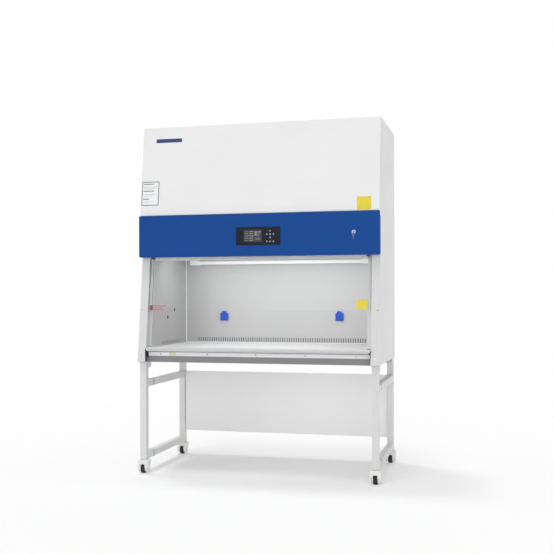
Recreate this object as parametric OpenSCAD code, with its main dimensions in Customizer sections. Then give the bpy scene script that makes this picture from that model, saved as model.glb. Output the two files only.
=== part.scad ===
// Biosafety cabinet on a wheeled stand. Millimetres, +Z up, front towards -Y.
// Origin: on the floor, under the middle of the cabinet.

/* [Cabinet] */
// Outer width across the two side panels
cab_w = 1500; // [1440:10:1600]
// Outer depth from the foot of the window to the rear panel
cab_d = 760; // [745:5:800]
// Height of the cabinet alone, above the stand
cab_h = 1468; // [1448:4:1520]
// Height of the cabinet's underside above the floor
stand_h = 690; // [660:10:740]
// Thickness of every folded sheet
sheet = 2; // [1.5:0.5:2.5]
// Backward lean of the window and of the upper front, in degrees
lean = 7.4; // [6.4:0.2:8.4]

/* [Control panel] */
// Underside of the control panel above the cabinet's base
panel_z = 649; // [640:1:660]
// Height of the control panel
panel_h = 257; // [245:1:262]
// How far its face stands behind the foot of the window
panel_set = 37; // [34:1:40]
// How far its face stands in front of the upper front panel
panel_proud = 12; // [11:1:14]
// How far it reaches past each side panel
panel_over = 3; // [3:0.5:10]
// Depth of its side and bottom returns
panel_return = 36; // [30:1:38]
// Radius of its lower corners
panel_r = 10; // [5:1:12]
// Radius of the hinge studs it swings on
hinge_r = 3; // [2.5:0.25:3.5]
// Middle of the display, measured from the middle of the cabinet
disp_x = 17; // [-20:1:30]
// Display width
disp_w = 277; // [270:1:290]
// Display height
disp_h = 109; // [107:1:118]
// Radius of a key cap
key_r = 6.5; // [5.5:0.5:8]
// Distance between neighbouring keys
key_pitch = 20.5; // [20:0.5:22]
// Key travel
key_travel = 1; // [0.6:0.1:1.4]
// Distance from the cabinet's right side to the lock
lock_in = 150; // [110:5:190]
// Radius of the lock's plug
lock_r = 9.5; // [8:0.5:11]

/* [Window] */
// Width of a pillar
pil_w = 48; // [44:1:50]
// Depth of a pillar
pil_d = 40; // [36:1:44]
// Thickness of the sliding glass
glass_t = 6; // [5:0.5:7]
// Length of the glass along the slope
glass_len = 610; // [600:5:640]
// How far the glass reaches into each pillar
glass_in = 12; // [9:1:14]
// Clearance on each face of the glass in its groove
groove_gap = 0.75; // [0.5:0.05:1]
// Opening between the lip and the glass as it stands
rest_gap = 230; // [200:5:250]
// Travel of the glass above where it stands
sash_up = 200; // [150:10:210]
// Teeth of a drive pinion
teeth = 18; // [18:1:20]
// Module of the racks and pinions
tooth_m = 2; // [1.75:0.05:2.05]
// Face width of the racks and pinions
rack_w = 12; // [8:1:13]
// Radius of the sash drive shaft
shaft_r = 5; // [4:0.5:6]

/* [Chamber] */
// Distance from a side panel's outside to the chamber wall
wall_gap = 75; // [74:1:80]
// Distance from the rear panel's outside to the chamber's back wall
back_gap = 90; // [80:2:110]
// Height of the work surface above the cabinet's base
tray_h = 90; // [84:1:100]
// Height of the ceiling above the cabinet's base
ceil_h = 680; // [676:1:700]
// Drop of the light header below the ceiling
head_h = 49; // [48:1:60]
// Width of a slot in the chamber's walls
slot_w = 5; // [4:0.5:8]
// Height of a slot in the chamber's walls
slot_h = 28; // [18:1:30]
// Distance between slots
slot_pitch = 16; // [14:1:22]
// Radius of the tap ports in the left wall
port_r = 12.5; // [8:0.5:14]
// Distance of each socket from the middle
socket_x = 398; // [340:2:440]
// Height of the sockets' middle above the work surface
socket_z = 182; // [150:2:220]
// Radius of a lamp tube
lamp_r = 13; // [8:0.5:14]
// Half the distance between the lamp holders
lamp_x = 560; // [530:5:580]

/* [Air system] */
// Width of a filter's frame
frame_t = 20; // [15:1:25]
// Distance between the folds of the filter media
pleat = 25; // [20:1:40]
// Height of the supply filter
filter_h = 92; // [70:2:110]
// Height of the exhaust filter
exh_h = 100; // [80:2:110]
// Radius of the impeller
fan_r = 155; // [130:5:170]
// Radius of the blower's inlet
inlet_r = 105; // [90:5:115]
// Number of impeller blades
blades = 9; // [7:1:12]
// Radius of the blower motor
motor_r = 58; // [45:1:62]
// Length of the blower motor
motor_len = 90; // [70:2:110]

/* [Stand] */
// Side of the square tube
tube = 40; // [36:1:44]
// Wall of the square tube
tube_wall = 2.5; // [1.5:0.5:3]
// Inset of the legs from the cabinet's sides
leg_in = 5.5; // [4:0.5:12]
// Distance from the cabinet's front edge to the front leg's middle
leg_front = 46; // [44:1:60]
// Distance from the rear panel to the rear leg's middle
leg_rear = 28; // [28:1:50]
// Height of the upper side rails' top
rail_z = 575; // [480:5:600]
// Length of the stub that carries a rail
stub = 88; // [60:2:110]
// Height of the modesty panel
modesty_h = 410; // [300:10:420]
// Gap between the modesty panel and each rear leg
modesty_gap = 2.5; // [1:0.5:5]

/* [Casters] */
// Radius of a wheel
wheel_r = 25; // [22:0.5:26]
// Width of a wheel
wheel_w = 25; // [20:1:28]
// Height of a caster
caster_h = 86; // [84:1:95]
// Offset of the axle from the swivel
trail = 12; // [8:1:12]
// Radius of the swivel stem
stem_r = 5.5; // [4.5:0.5:7]

/* [Hidden] */
$fn = 48;
run = 0.05; // radial play of every turning fit
W2 = cab_w / 2;
yF = -cab_d / 2;
yR = cab_d / 2;
zB = stand_h;
zT = zB + cab_h;
tl = tan(lean);
cl = cos(lean);
sl = sin(lean);
// Pillar plane at height z, off = distance behind its face
function py(z, off = 0) = yF + (z - zB) * tl + off / cl;
yP = yF + panel_set;
zP0 = zB + panel_z;
zP1 = zP0 + panel_h;
// Face of the upper front panel at height z
function uy(z) = yP + panel_proud + (z - zP1) * tl;
xo = W2 - sheet;
xi = xo - pil_w;
cx = W2 - wall_gap;
yK = yR - back_gap;
tray_z = zB + tray_h;
lip_z = tray_z + 3;
zC = zB + ceil_h;
yA = yF + pil_d - 2;
apron_z0 = tray_z - 51;
apron_z1 = tray_z - 27;
apron_pitch = (xi - 88) / 2;
// Sash
face_t = 10;
g0 = face_t + groove_gap;
g1 = g0 + glass_t;
s0 = (lip_z + rest_gap - zB) / cl;
gx = xi + glass_in;
pitch = PI * tooth_m;
rack_base = 2.5;
pitch_r = teeth * tooth_m / 2;
sc_y = g1 + rack_base + 1.25 * tooth_m + pitch_r;
shaft_z = zC + 30;
sc_s = (shaft_z - zB + sc_y * sl) / cl;
shaft_y = yF + sc_y * cl + sc_s * sl;
rack_x = (cx + sheet + xi) / 2;
guide_top = zB + (s0 + glass_len + sash_up) * cl + 60;
flange0 = g1 + rack_base + 2.25 * tooth_m + 3;
// Hinge of the control panel
hy = yP + 2 + hinge_r + 4;
hz = zP1 - 4 - hinge_r;
zU = zP1 + 3;
disp_z = (zP0 + zP1) / 2 - 8;
lock_x = W2 - lock_in;
lock_z = disp_z + 14;
// Air system
fy0 = py(zB + (s0 + glass_len + sash_up) * cl, flange0 + 16);
fy1 = yK - 5;
fx = cx - 35;
zF = zC + sheet + filter_h;
zX = zT - sheet - exh_h;
fan_z = (zF + zX) / 2;
ex = 300;
ey0 = fy0 + 40;
ey1 = fy1 - 45;
// Stand
lx = W2 - leg_in - tube / 2;
lyf = yF + leg_front;
lyr = yR - leg_rear;
axle_r = 4;
modesty_z = [rail_z - modesty_h + 25, rail_z - 25];

// Box between two corners
module bx(a, b) { translate(a) cube(b - a); }
// Side outline pts (y, z) drawn from x0 to x1
module prism(x0, x1, pts) {
  translate([x0, 0, 0]) rotate([90, 0, 90]) linear_extrude(x1 - x0) polygon(pts);
}
// Strip of the pillar plane: x0..x1, depth a..b behind its face, height z0..z1
module strip(x0, x1, a, b, z0, z1) {
  prism(x0, x1, [[py(z0, a), z0], [py(z0, b), z0], [py(z1, b), z1], [py(z1, a), z1]]);
}
// Frame of the window: x, depth behind the pillar face, distance up the slope
module slope() { translate([0, yF, zB]) rotate([-lean, 0, 0]) children(); }
// Rods along X, Y
module rod_x(x0, x1, y, z, r) { translate([x0, y, z]) rotate([0, 90, 0]) cylinder(r = r, h = x1 - x0); }
module rod_y(x, y0, y1, z, r) { translate([x, y0, z]) rotate([-90, 0, 0]) cylinder(r = r, h = y1 - y0); }
// Upright shape drawn in (x, z), from depth y0 to y1
module upright(y0, y1) { translate([0, y1, 0]) rotate([90, 0, 0]) linear_extrude(y1 - y0) children(); }
// Rectangle -x..x, z0..z1 with its lower corners rounded to rb and its upper ones to rt
module soft(x, z0, z1, rb, rt) {
  for (s = [-1, 1]) {
    translate([s * (x - rb), z0 + rb]) circle(r = rb);
    translate([s * (x - rt), z1 - rt]) circle(r = rt);
  }
  polygon([[-x + rb, z0], [x - rb, z0], [x, z0 + rb], [x, z1 - rt], [x - rt, z1], [-x + rt, z1],
    [-x, z1 - rt], [-x, z0 + rb]]);
}
module flip(right) { if (right) children(); else mirror([1, 0, 0]) children(); }

// Stand
module leg_body(front) {
  d = front ? 1 : -1;
  yc = front ? lyf : lyr;
  h = tube / 2;
  translate([lx, yc, 0]) scale([1, d, 1]) {
    difference() {
      union() {
        bx([-h, -h, caster_h], [h, h, zB]);
        for (z = [rail_z - tube, caster_h]) bx([-h, h - 1, z], [h, h + stub, z + tube]);
      }
      bx([-h + tube_wall, -h + tube_wall, caster_h + tube], [h - tube_wall, h - tube_wall, zB - 5]);
      for (z = [rail_z - tube, caster_h])
        bx([-h + tube_wall, h + 1, z + tube_wall], [h - tube_wall, h + stub + 1, z + tube - tube_wall]);
      translate([0, 0, caster_h - 1]) cylinder(r = stem_r + run, h = tube - 3);
    }
    // Welded tabs that carry the modesty panel
    if (!front) for (z = modesty_z) difference() {
      bx([-h - 40, 8 - sheet - 3, z - 14], [-h + 1, 8 - sheet, z + 14]);
      rod_y(-h - 25, 0, 9, z, 2.5);
    }
    // Welded bracket, between the two legs of a side, that bolts up into the base
    difference() {
      bx([-h, h, zB - 5], [h, h + 45, zB]);
      translate([0, h + 24, zB - 6]) cylinder(r = 4.5, h = 8);
    }
    for (x = [-h, h - 3]) prism(x, x + 3, [[h, zB - 5], [h + 45, zB - 5], [h + 45, zB - 22],
      [h + 33, zB - 38], [h, zB - 38]]);
  }
}
module leg_front_left() color("gainsboro") flip(false) leg_body(true);
module leg_front_right() color("gainsboro") flip(true) leg_body(true);
module leg_rear_left() color("gainsboro") flip(false) leg_body(false);
module leg_rear_right() color("gainsboro") flip(true) leg_body(false);

module rail_body(z) {
  h = tube / 2;
  y0 = lyf + h + stub;
  y1 = lyr - h - stub;
  i = tube_wall + 0.3;
  difference() {
    union() {
      bx([lx - h, y0, z], [lx + h, y1, z + tube]);
      bx([lx - h + i, y0 - stub + 6, z + i], [lx + h - i, y1 + stub - 6, z + tube - i]);
    }
    bx([lx - h + 2 * i, y0 - stub, z + 2 * i], [lx + h - 2 * i, y1 + stub, z + tube - 2 * i]);
  }
}
module rail_upper_left() color("gainsboro") flip(false) rail_body(rail_z - tube);
module rail_upper_right() color("gainsboro") flip(true) rail_body(rail_z - tube);
module rail_lower_left() color("gainsboro") flip(false) rail_body(caster_h);
module rail_lower_right() color("gainsboro") flip(true) rail_body(caster_h);

// Plastic collars over the joint between a stub and its rail
module rail_collars() color("dimgray") {
  h = tube / 2;
  yj = lyf + h + stub;
  for (s = [-1, 1], z = [rail_z - tube, caster_h]) difference() {
    bx([s * lx - h - 1.2, yj - 12, z - 1.2], [s * lx + h + 1.2, yj + 12, z + tube + 1.2]);
    bx([s * lx - h, yj - 13, z], [s * lx + h, yj + 13, z + tube]);
  }
}

module modesty_panel() color("whitesmoke") difference() {
  x0 = lx - tube / 2;
  x1 = x0 - modesty_gap;
  y0 = lyr - 8;
  z1 = rail_z;
  z0 = z1 - modesty_h;
  union() {
    bx([-x1, y0, z0], [x1, y0 + sheet, z1]);
    for (z = [z0, z1 - sheet]) bx([-x1, y0, z], [x1, lyr + 16, z + sheet]);
    // Welded studs that pass through the legs' tabs
    for (s = [-1, 1], z = modesty_z) rod_y(s * (x0 - 25), y0 + sheet / 2, y0 + sheet + 11, z, 2.4);
    for (s = [-1, 1]) bx([s > 0 ? x1 - sheet : -x1, y0, z0], [s > 0 ? x1 : -x1 + sheet, lyr + 16, z1]);
  }
  // Slots in the side flanges for the legs' tabs
  for (s = [-1, 1], z = modesty_z) bx([s > 0 ? x1 - sheet - 1 : -x1 - 1, y0 + sheet, z - 15],
    [s > 0 ? x1 + 1 : -x1 + sheet + 1, lyr + 17, z + 15]);
}

// Casters: a hooded fork turning on its stem, and its wheel
module fork_body() {
  w = wheel_w / 2;
  c = w + 0.7;
  o = c + 19.5;
  fr = min(27, leg_rear - 1);
  difference() {
    union() {
      translate([0, 0, caster_h - 7]) cylinder(r = fr, h = 5);
      translate([0, 0, caster_h - 3]) cylinder(r = 11, h = 2.7);
      cylinder_stem();
      for (s = [-1, 1]) translate([s > 0 ? c : -o, 0, 0]) rotate([90, 0, 90]) linear_extrude(o - c) {
        polygon([[-fr, caster_h - 6], [fr - 2, caster_h - 6], [fr - 4, caster_h - 20],
          [-trail + wheel_r * 0.66, wheel_r], [-trail - wheel_r * 0.66, wheel_r],
          [-trail - wheel_r * 0.9, wheel_r * 1.7]]);
        translate([-trail, wheel_r]) circle(r = wheel_r * 0.66);
      }
      prism(-c - 1, c + 1, [[-fr + 1, caster_h - 6], [fr - 3, caster_h - 6], [fr - 5, caster_h - 20],
        [10, wheel_r * 2 + 3], [-trail - 8, wheel_r * 2 + 3], [-trail - 20, wheel_r * 2 + 6]]);
      rod_x(-c - 1, c + 1, -trail, wheel_r, axle_r);
    }
    for (s = [-1, 1]) rod_x(s > 0 ? o - 2 : -o - 1, s > 0 ? o + 1 : -o + 2, -trail, wheel_r, axle_r + 3);
  }
}
module cylinder_stem() { translate([0, 0, caster_h - 3]) cylinder(r = stem_r, h = tube - 4); }
module wheel_body() difference() {
  rotate([90, 0, 90]) translate([0, 0, -wheel_w / 2]) rotate_extrude() polygon([[axle_r + run, 0],
    [wheel_r - 7, 0], [wheel_r - 7, 2], [wheel_r - 6, 2], [wheel_r - 6, 0], [wheel_r - 3, 0],
    [wheel_r, 3], [wheel_r, wheel_w - 3], [wheel_r - 3, wheel_w], [wheel_r - 6, wheel_w],
    [wheel_r - 6, wheel_w - 2], [wheel_r - 7, wheel_w - 2], [wheel_r - 7, wheel_w], [axle_r + run, wheel_w]]);
}
module caster_at(sx, y) { translate([sx * lx, y, 0]) children(); }
module wheel_at(sx, y) { translate([sx * lx, y - trail, wheel_r]) wheel_body(); }
module caster_fork_fl() color("white") caster_at(-1, lyf) fork_body();
module caster_fork_fr() color("white") caster_at(1, lyf) fork_body();
module caster_fork_rl() color("white") caster_at(-1, lyr) fork_body();
module caster_fork_rr() color("white") caster_at(1, lyr) fork_body();
module caster_wheel_fl() color("#202020") wheel_at(-1, lyf);
module caster_wheel_fr() color("#202020") wheel_at(1, lyf);
module caster_wheel_rl() color("#202020") wheel_at(-1, lyr);
module caster_wheel_rr() color("#202020") wheel_at(1, lyr);

// Shell
module base_pan() color("gray") difference() {
  union() {
    bx([-xo, yA + 2, zB], [xo, yR - sheet, apron_z0]);
    for (s = [-1, 1]) bx([s > 0 ? xi : -xo, yF + 1, zB], [s > 0 ? xo : -xi, yA + 3, zB + sheet]);
  }
  bx([-xo + sheet, yA + 2 + sheet, zB + sheet], [xo - sheet, yR - 2 * sheet, apron_z0 + 1]);
  for (s = [-1, 1]) bx([s > 0 ? xi - 0.001 : -xo - 1, yA + 1.9, zB + sheet],
    [s > 0 ? xo + 1 : -xi + 0.001, py(zB + sheet, pil_d) + 6, apron_z0 + 1]);
}

module side_panel() {
  prism(W2 - sheet, W2, [[yF, zB], [py(zP0 - 2), zP0 - 2], [py(zP0 - 2), zP0 + 4],
    [yP + 4.5, zP0 + 4], [yP + 4.5, zP1 - 2], [uy(zU), zP1 - 2], [uy(zU), zU], [uy(zT), zT],
    [yR, zT], [yR, zB]]);
  rod_x(W2 - 1, W2 + panel_over - 0.5, hy, hz, hinge_r);
}
module side_panel_left() color("white") flip(false) side_panel();
module side_panel_right() color("white") flip(true) side_panel();
module rear_panel() color("white") bx([-xo, yR - sheet, zB], [xo, yR, zT]);

module top_panel() color("white") difference() {
  bx([-xo, uy(zT) + sheet, zT - sheet], [xo, yR - sheet, zT]);
  for (i = [-10 : 10]) bx([i * 25 - 8, ey0 + 35, zT - 5], [i * 25 + 8, ey1 - 35, zT + 1]);
}

module upper_front_panel() color("white") {
  prism(-xo, xo, [[uy(zU), zU], [uy(zT), zT], [uy(zT) + sheet, zT], [uy(zU) + sheet, zU]]);
  bx([-xo, uy(zU) + 1, zU], [xo, uy(zU) + 24, zU + sheet]);
  // Strike that the lock's cam turns up behind
  bx([lock_x - 9, yP + 19, lock_z + 22], [lock_x + 9, yP + 21, zU + 1]);
}

module front_apron() color("white") difference() {
  bx([-xi, yA, apron_z0], [xi, yA + 6, apron_z1]);
  bx([-xi + sheet, yA + sheet, apron_z0 + sheet], [xi - sheet, yA + 7, apron_z1 - sheet]);
  for (i = [-2 : 2]) rod_y(i * apron_pitch, yA - 1, yA + 3, apron_z1 - 12, 2.5);
}

// Hinged front with the display and the lock
module control_panel() color("#2a4f93") {
  x1 = W2 + panel_over;
  y1 = yP + panel_return;
  r = 4;
  a = [for (i = [0 : 4]) 180 - 22.5 * i];
  difference() {
    intersection() {
      prism(-x1, x1, concat([[y1, zP0], [yP, zP0]],
        [for (t = a) [yP + r + r * cos(t), zP1 - r + r * sin(t)]],
        [[yP + 12, zP1], [yP + 14, hz - 12], [y1, hz - 30]]));
      upright(yP - 1, y1 + 1) soft(x1, zP0, zP1, panel_r, r);
    }
    intersection() {
      prism(-x1 + sheet, x1 - sheet, [[y1 + 1, zP0 + sheet], [yP + sheet, zP0 + sheet],
        [yP + sheet, zP1 - sheet - 2], [yP + sheet + 2, zP1 - sheet],
        [yP + 15, zP1 - sheet], [y1 + 1, hz - 28]]);
      upright(yP, y1 + 2) soft(x1 - sheet, zP0 + sheet, zP1 - sheet, panel_r - sheet, r - sheet);
    }
    // Notches that let the flanges pass the side panels
    for (s = [-1, 1]) bx([s > 0 ? xo - 1 : -W2 - 1, yP + sheet, zP0 - 1],
      [s > 0 ? W2 + 1 : -xo + 1, y1 + 1, zP1 + 1]);
    bx([disp_x - disp_w / 2 + 5, yP - 1, disp_z - disp_h / 2 + 5],
      [disp_x + disp_w / 2 - 5, yP + 4, disp_z + disp_h / 2 - 5]);
    rod_x(-x1 - 1, x1 + 1, hy, hz, hinge_r + run);
    rod_y(lock_x, yP - 1, yP + 4, lock_z, lock_r + run);
  }
}

// Keys: x step, z step, measured from the middle key
kx = disp_x + 76;
kz = disp_z + 10;
key_at = [[0, 1], [-1, 0], [0, 0], [1, 0], [0, -1], [-1, -2.15], [0, -2.15], [1, -2.15]];
key_y = yP - 2;
function key_pos(i) = [kx + key_at[i][0] * key_pitch, kz + key_at[i][1] * key_pitch];
module display_module() color("#27292c") difference() {
  union() {
    bx([disp_x - disp_w / 2, key_y, disp_z - disp_h / 2], [disp_x + disp_w / 2, yP, disp_z + disp_h / 2]);
    bx([disp_x - disp_w / 2 + 5, yP - 0.5, disp_z - disp_h / 2 + 5],
      [disp_x + disp_w / 2 - 5, yP + 24, disp_z + disp_h / 2 - 5]);
  }
  // Window of the display and the chamber behind the keys
  bx([disp_x - 94, key_y - 1, disp_z - 38], [disp_x + 26, key_y + 0.8, disp_z + 38]);
  bx([kx - key_pitch - key_r - 4, yP + 1, kz - 2.15 * key_pitch - key_r - 4],
    [kx + key_pitch + key_r + 4, yP + 10, kz + key_pitch + key_r + 4]);
  for (i = [0 : 7]) rod_y(key_pos(i)[0], key_y - 1, yP + 2, key_pos(i)[1], key_r + 0.3);
}
module key_cap(i) color("silver") {
  p = key_pos(i);
  rod_y(p[0], key_y - key_travel - 0.3, yP + 2, p[1], key_r);
  rod_y(p[0], yP + 1.3, yP + 3, p[1], key_r + 1.5);
  rod_y(p[0], yP + 2.5, yP + 10 - key_travel - 0.4, p[1], 2);
}
module key_up() key_cap(0);
module key_left() key_cap(1);
module key_enter() key_cap(2);
module key_right() key_cap(3);
module key_down() key_cap(4);
module key_light() key_cap(5);
module key_fan() key_cap(6);
module key_uv() key_cap(7);

module lock_plug() color("silver") difference() {
  union() {
    rod_y(lock_x, yP - 3.3, yP - 0.3, lock_z, lock_r + 3);
    rod_y(lock_x, yP - 0.5, yP + 25, lock_z, lock_r);
    // Cam, at rest pointing away from the strike
    bx([lock_x - 34, yP + 24, lock_z - 6], [lock_x + 6, yP + 27, lock_z + 6]);
  }
  bx([lock_x - 1.2, yP - 4, lock_z - 4], [lock_x + 1.2, yP + 14, lock_z + 4]);
}
module lock_key() color("silver") difference() {
  union() {
    bx([lock_x - 1, yP - 8, lock_z - 3.6], [lock_x + 1, yP + 13, lock_z + 3.6]);
    rod_x(lock_x - 1, lock_x + 1, yP - 17, lock_z, 11);
  }
  rod_x(lock_x - 2, lock_x + 2, yP - 22, lock_z - 3, 2.6);
}
// The ring hangs on the lower edge of the key's hole, 0.1 mm clear
module key_ring() color("silver") translate([lock_x, yP - 22, lock_z - 4.7 - 8]) {
  rotate([90, 0, 0]) rotate_extrude() translate([8, 0]) circle(r = 0.8, $fn = 16);
  translate([-1, 0, -14]) rotate([0, 90, 0]) cylinder(r = 7, h = 2);
  bx([-1, -2.5, -30], [1, 2.5, -18]);
}

// Window
module pillar() {
  z0 = zB + sheet;
  z1 = guide_top;
  difference() {
    union() {
      strip(xi, xo, 0, pil_d, z0, z1);
      strip(xi, xi + 20, pil_d - 1, sc_y + shaft_r + 8, shaft_z - 16, shaft_z + 16);
    }
    strip(xi - 1, xi + glass_in + 2, face_t, face_t + glass_t + 2 * groove_gap, z0 - 1, z1 + 1);
    strip(xi + glass_in + 5, xo - 3, 3, pil_d - 3, z0 - 1, z1 + 1);
    rod_x(xi - 1, xi + 13, shaft_y, shaft_z, shaft_r + run);
    slope() rod_y(W2 - 23, -5, 4, 42 / cl, 2.5);
  }
}
module pillar_left() color("white") flip(false) pillar();
module pillar_right() color("white") flip(true) pillar();

module sash_glass() color("lightcyan", 0.3) slope()
  bx([-gx, g0, s0], [gx, g1, s0 + glass_len]);

// Rack teeth along the slope, with one tooth at the pinion's height
module sash_racks() color("dimgray") {
  k0 = ceil((s0 + 4 - sc_s) / pitch);
  k1 = floor((s0 + glass_len - 4 - sc_s) / pitch);
  a = pitch / 4 - 0.12;
  d = tan(20) * tooth_m;
  b = g1 + rack_base;
  pts = concat([[g1, s0 + glass_len], [g1, s0], [b, s0]],
    [for (k = [k0 : k1], q = [[0, -a - 1.25 * d], [2.25 * tooth_m, -a + d], [2.25 * tooth_m, a - d],
      [0, a + 1.25 * d]]) [b + q[0], sc_s + k * pitch + q[1]]], [[b, s0 + glass_len]]);
  for (s = [-1, 1]) slope() prism(s * rack_x - rack_w / 2, s * rack_x + rack_w / 2, pts);
}

// Involute pinion
function inv(a) = tan(a) * 180 / PI - a;
function flank(r) = 90 / teeth - 0.6 + inv(20) - inv(acos(min(1, pitch_r * cos(20) / r)));
module pinion() {
  rb = pitch_r * cos(20);
  rr = pitch_r - 1.25 * tooth_m;
  ra = pitch_r + tooth_m;
  rs = [rb, rb + (ra - rb) * 0.35, rb + (ra - rb) * 0.7, ra];
  rotate(180 / teeth) polygon([for (k = [0 : teeth - 1], q = concat(
    [[rr, -flank(rb)]], [for (r = rs) [r, -flank(r)]],
    [for (i = [3 : -1 : 0]) [rs[i], flank(rs[i])]], [[rr, flank(rb)]]))
    q[0] * [cos(180 + 360 / teeth * k + q[1]), sin(180 + 360 / teeth * k + q[1])]]);
}
module sash_drive_shaft() color("silver") {
  rod_x(-xi - glass_in, xi + glass_in, shaft_y, shaft_z, shaft_r);
  for (s = [-1, 1]) slope() translate([s * rack_x - rack_w / 2, sc_y, sc_s])
    rotate([90, 0, 90]) linear_extrude(rack_w) pinion();
}
module sash_motor() color("dimgray") difference() {
  y0 = shaft_y - 12;
  union() {
    bx([cx - 75, y0, zC + sheet], [cx - 15, y0 + 58, zC + 60]);
    translate([cx - 45, y0 + 36, zC + 59]) cylinder(r = 20, h = 80);
    translate([cx - 45, y0 + 36, zC + 138]) cylinder(r = 8, h = 6);
  }
  rod_x(cx - 76, cx - 14, shaft_y, shaft_z, shaft_r + run);
}

// Chamber
module work_tray() color("silver") difference() {
  y0 = yF + 4;
  r = (lip_z - apron_z1 - 4) / 2;
  z0 = lip_z - 2 * r;
  q = 2 * r - 6;
  union() {
    bx([-cx + 0.5, yA + 4, tray_z - sheet], [cx - 0.5, yK - 0.5, tray_z]);
    // Rolled front lip, rounded at its lower ends and open below behind the roll
    difference() {
      intersection() {
        union() {
          rod_x(-xi + 2, xi - 2, y0 + r, lip_z - r, r);
          bx([-xi + 2, y0 + r, z0], [xi - 2, yA + 6, lip_z]);
        }
        upright(y0 - 1, yA + 7) soft(xi - 2, z0, lip_z + 1, q, 0.5);
      }
      intersection() {
        union() {
          rod_x(-xi + 4, xi - 4, y0 + r, lip_z - r, r - sheet);
          bx([-xi + 4, y0 + r, z0 + sheet], [xi - 4, yA + 4, lip_z - sheet]);
        }
        upright(y0, yA + 6) soft(xi - 2 - sheet, z0 + sheet, lip_z, q - sheet, 0.5);
      }
      bx([-xi + 2 + q, y0 + r, z0 - 1], [xi - 2 - q, yA + 4, z0 + sheet + 1]);
    }
    bx([-cx + 0.5, yK - 2.5, tray_z - 1], [cx - 0.5, yK - 0.5, tray_z + 4]);
  }
  for (i = [-32 : 32], j = [0, 1]) if (abs(i * 20) < cx - 30)
    bx([i * 20 - 4, yA + 14 + j * 34, tray_z - 5], [i * 20 + 4, yA + 40 + j * 34, tray_z + 1]);
}

slot_z = tray_z + 7;
module chamber_back_wall() color("silver") difference() {
  bx([-cx - sheet, yK, tray_z - 20], [cx + sheet, yK + sheet, zC]);
  n = floor((cx - 80) / slot_pitch);
  for (i = [0.5 - n : n]) bx([i * slot_pitch - slot_w / 2, yK - 1, slot_z],
    [i * slot_pitch + slot_w / 2, yK + 5, slot_z + slot_h]);
  for (s = [-1, 1]) bx([s * socket_x - 21, yK - 1, tray_z + socket_z - 22],
    [s * socket_x + 21, yK + 5, tray_z + socket_z + 20]);
}

module chamber_wall(ports) difference() {
  z0 = zB + sheet;
  union() {
    prism(cx, cx + sheet, [[yA + 4.3 + sheet, z0], [yA + 4.3 + sheet, lip_z + 0.5],
      [py(lip_z + 0.5, flange0), lip_z + 0.5], [py(zC, flange0), zC], [yK, zC], [yK, z0]]);
    strip(cx + 1, xi, flange0, flange0 + sheet, tray_z + 6, zC);
    bx([cx - 18, yA + 30, tray_z - 2 * sheet], [cx + 1, yK - 1, tray_z - sheet]);
  }
  n = floor((yK - yA - 300) / 2 / slot_pitch);
  for (i = [-n : n]) bx([cx - 5, i * slot_pitch - slot_w / 2, slot_z],
    [cx + 5, i * slot_pitch + slot_w / 2, slot_z + slot_h - 6]);
  if (ports) for (p = [[-59, 180], [65, 227]]) rod_x(cx - 3, cx + 5, p[0], tray_z + p[1], port_r);
}
module chamber_wall_left() color("silver") flip(false) chamber_wall(true);
module chamber_wall_right() color("silver") flip(true) chamber_wall(false);

// Perforated ceiling with the light header folded down behind the glass
module diffuser() color("white") difference() {
  zh = zC - head_h;
  union() {
    bx([-cx - sheet, py(zC, flange0), zC], [cx + sheet, yK + sheet, zC + sheet]);
    strip(-cx + 0.5, cx - 0.5, flange0 + 1, flange0 + 1 + sheet, zh, zC + 1);
    bx([-cx + 0.5, py(zh, flange0 + 2), zh], [cx - 0.5, py(zh, flange0 + 1) + 22, zh + sheet]);
  }
  for (x = [-12 : 12], y = [0 : 7]) translate([x * 48, fy0 + 40 + y * (fy1 - fy0 - 80) / 7, zC - 1])
    cylinder(r = 7, h = sheet + 2, $fn = 24);
}

module socket_inserts() color("whitesmoke") for (s = [-1, 1]) translate([s * socket_x, yK, tray_z + socket_z])
  difference() {
    union() {
      bx([-20.5, -1, -21.5], [20.5, 28, 19.5]);
      bx([-24, -3, -25], [24, 0, 24]);
      for (d = [-14, 8.5]) bx([d, -9, 20], [d + 5.5, -2, 31]);
      rod_x(-14, 14, pin_y, 28, 1.8);
    }
    for (a = [90, 210, 330]) rod_y(9 * cos(a), -4, 12, -2 + 9 * sin(a), 2.4);
    rod_y(0, -4, -1.5, -2, 5);
  }
pin_y = -6.5;
module cover() {
  h = 32;
  w = 26;
  // Bell shape: a body with round corners and a knuckle above it
  difference() {
    upright(-16, -3.5) { soft(w, -h, 21, 3, 9); soft(15.8, 0, h, 1, 5); }
    upright(-14, -1.5) { soft(w - 2, -h + 2, 19, 1, 7); soft(14.6, 0, h + 3, 1, 1); }
  }
  difference() {
    union() {
      rod_x(-8, 8, pin_y, 28, 3.6);
      bx([-8, -15, 25], [8, pin_y, 31]);
    }
    rod_x(-9, 9, pin_y, 28, 1.8 + run);
  }
  bx([-10, -19, -h + 4], [10, -15.5, -h + 8]);
}
module socket_cover_left() color("#2f63c8") translate([-socket_x, yK, tray_z + socket_z]) cover();
module socket_cover_right() color("#2f63c8") translate([socket_x, yK, tray_z + socket_z]) cover();

uv_y = yK - 30;
uv_z = zC - 48;
lt_y = py(zC - 30, flange0) + 40;
lt_z = zC - 28;
lamp_end = lamp_x + 38;
module lamp_tubes() color("white") for (p = [[uv_y, uv_z], [lt_y, lt_z]]) {
  rod_x(-lamp_end, lamp_end, p[0], p[1], lamp_r);
  for (s = [-1, 1], d = [-6, 6]) rod_x(s > 0 ? lamp_end - 1 : -lamp_end - 8,
    s > 0 ? lamp_end + 8 : -lamp_end + 1, p[0], p[1] + d, 1.2);
}
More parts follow.
